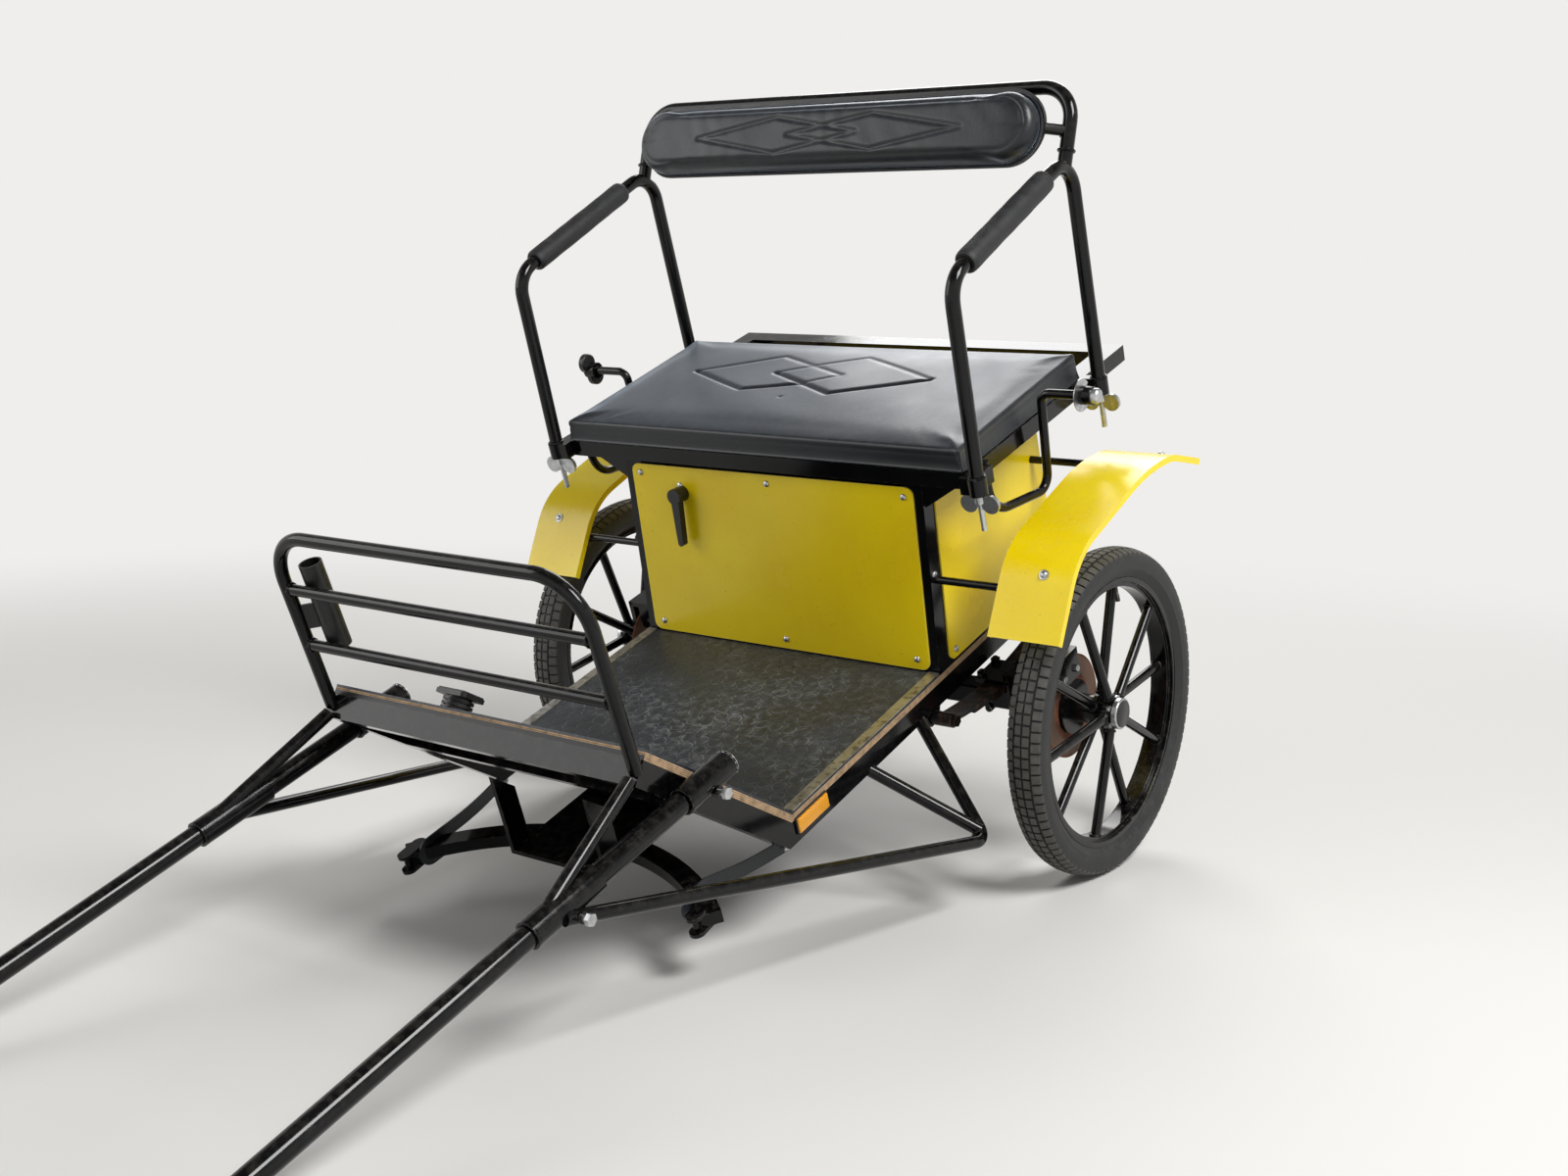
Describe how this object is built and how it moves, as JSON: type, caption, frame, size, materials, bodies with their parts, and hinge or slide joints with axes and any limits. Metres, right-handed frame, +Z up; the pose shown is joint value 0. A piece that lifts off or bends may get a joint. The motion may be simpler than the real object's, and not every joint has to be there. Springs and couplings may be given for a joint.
{
  "type": "two-wheeled pony cart",
  "caption": "Two-wheeled tubular pony cart with a padded seat over a panelled box, fenders and draught shafts.",
  "frame": {"origin": "middle of the parked cart's bounding box, on the ground", "axes": "+Z up, -Y forward along the draught shafts, +X to the driver's left, parked with the nose down"},
  "size_m": [1.216, 3.0625, 1.3902],
  "materials": {
    "black_tube": "gloss black paint, scuffed",
    "yellow_panel": "gloss yellow paint",
    "black_vinyl": "grained vinyl upholstery",
    "foam_grip": "closed-cell foam",
    "rubber_mat": "dusty ribbed rubber",
    "plywood": "bare plywood edge",
    "bright_alloy": "worn mill finish",
    "amber_lens": "amber reflector",
    "spring_steel": "black paint, dusty",
    "rusty_iron": "rusted",
    "tyre_rubber": "dusty tread",
    "bright_zinc": "bright plated",
    "black_plastic": "moulded"
  },
  "bodies": {
    "cart": {"platform_frame": "black_tube", "floor_board": "plywood", "toe_board": "plywood", "floor_mat": "rubber_mat", "edge_strips": "bright_alloy", "side_reflectors": "amber_lens", "box_frame": "black_tube", "box_front_panel": "yellow_panel", "box_side_panel_right": "yellow_panel", "box_side_panel_left": "yellow_panel", "box_rear_panel": "yellow_panel", "seat_frame": "black_tube", "seat_cushion": "black_vinyl", "back_frame": "black_tube", "backrest_shell": "black_plastic", "backrest_pad": "black_vinyl", "arm_grip_right": "foam_grip", "arm_grip_left": "foam_grip", "fender_right": "yellow_panel", "fender_left": "yellow_panel", "fender_stays": "black_tube", "axle": "black_tube", "leaf_spring_right": "spring_steel", "leaf_spring_left": "spring_steel", "spring_clamps": "black_tube", "spring_hangers": "black_tube", "brake_caliper_right": "black_tube", "brake_caliper_left": "black_tube", "dash_rail": "black_tube", "whip_holder": "black_plastic", "shaft_socket_right": "black_tube", "guard_bar_right": "black_tube", "shaft_socket_left": "black_tube", "guard_bar_left": "black_tube", "swingletree_hanger": "black_tube", "lamp_brackets": "black_tube", "brake_pedal": "black_plastic", "shaft_screws": "bright_zinc", "seat_screws": "bright_zinc", "lamp_clamps": "black_tube", "latch_lever": "black_plastic"},
    "wheel_right": {"tyre_right": "tyre_rubber", "wheel_right": "black_tube", "brake_disc_right": "rusty_iron", "hub_cap_right": "bright_zinc"},
    "shaft_right": {"shaft_right": "black_tube"},
    "wheel_left": {"tyre_left": "tyre_rubber", "wheel_left": "black_tube", "brake_disc_left": "rusty_iron", "hub_cap_left": "bright_zinc"},
    "shaft_left": {"shaft_left": "black_tube"},
    "swingletree": {"swingletree": "black_tube", "trace_shackles": "black_tube"}
  },
  "joints": [
    {"name": "wheel_right_spin", "type": "hinge", "parent": "cart", "child": "wheel_right", "pos_m": [-0.552, 1.23632, 0.295], "axis": [1, 0, 0], "continuous": true},
    {"name": "wheel_left_spin", "type": "hinge", "parent": "cart", "child": "wheel_left", "pos_m": [0.552, 1.23632, 0.295], "axis": [1, 0, 0], "continuous": true},
    {"name": "shaft_right_slide", "type": "slide", "parent": "cart", "child": "shaft_right", "axis": [0, -0.9469, -0.3214], "range_m": [-0.1, 0.06]},
    {"name": "shaft_left_slide", "type": "slide", "parent": "cart", "child": "shaft_left", "axis": [0, -0.9469, -0.3214], "range_m": [-0.1, 0.06]},
    {"name": "swingletree_swing", "type": "hinge", "parent": "cart", "child": "swingletree", "pos_m": [0, 0.50325, 0.1462], "axis": [0, -0.3214, 0.9469], "range_deg": [-12, 4]}
  ]
}
